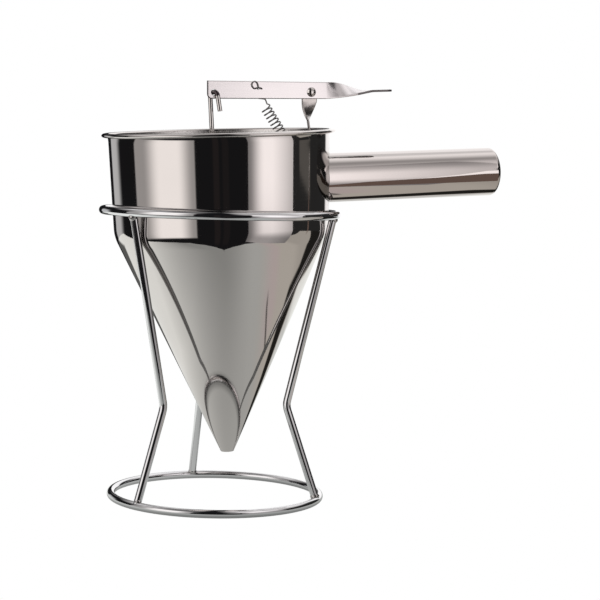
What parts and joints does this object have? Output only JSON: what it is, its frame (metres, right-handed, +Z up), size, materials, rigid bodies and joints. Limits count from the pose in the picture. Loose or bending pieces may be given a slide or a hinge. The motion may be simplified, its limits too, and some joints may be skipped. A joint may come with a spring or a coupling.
{
  "type": "confectionery funnel",
  "caption": "Polished steel confectionery funnel with a tubular side handle, spring-return thumb lever and stopper rod, resting in a round wire stand on bent legs.",
  "frame": {"origin": "centre of the stand's base ring, on the table that it stands on", "axes": "+Z up from the table, +X towards the free end of the handle, +Y to the back of the lever"},
  "size_m": [0.2686, 0.1546, 0.2693],
  "materials": {
    "polished_steel": "mirror polished stainless sheet",
    "handle_steel": "polished stainless tube",
    "strip_steel": "satin stainless strip",
    "spring_steel": "dark spring wire",
    "rod_steel": "bright drawn rod",
    "stand_chrome": "chromed round wire"
  },
  "bodies": {
    "stand": {"stand_base_ring": "stand_chrome", "stand_top_ring": "stand_chrome", "stand_leg_1": "stand_chrome", "stand_leg_2": "stand_chrome", "stand_leg_3": "stand_chrome"},
    "funnel": {"hopper": "polished_steel", "handle_tube": "handle_steel", "handle_end_cap": "handle_steel", "lever_bracket": "strip_steel", "pivot_rivet": "strip_steel"},
    "lever": {"lever": "strip_steel", "return_spring": "spring_steel"},
    "stopper": {"stopper_rod": "rod_steel", "stopper_plug": "rod_steel"}
  },
  "joints": [
    {"name": "funnel_lift", "type": "slide", "parent": "stand", "child": "funnel", "axis": [0, 0, 1], "range_m": [0, 0.165]},
    {"name": "lever_press", "type": "hinge", "parent": "funnel", "child": "lever", "pos_m": [0.05868, -0.00149, 0.26225], "axis": [-0.0011, 0.9998, 0.0205], "range_deg": [0, 15], "stiffness_Nm_per_rad": 0.79, "springref_deg": -16.04, "deforming": ["return_spring"]},
    {"name": "stopper_swing", "type": "hinge", "parent": "lever", "child": "stopper", "pos_m": [-0.007, -0.00152, 0.25981], "axis": [-0.0011, 0.9998, 0.0205], "range_deg": [-15, 0]}
  ],
  "couplings": [
    {"joint": "stopper_swing", "follows": "lever_press", "ratio": -1}
  ]
}
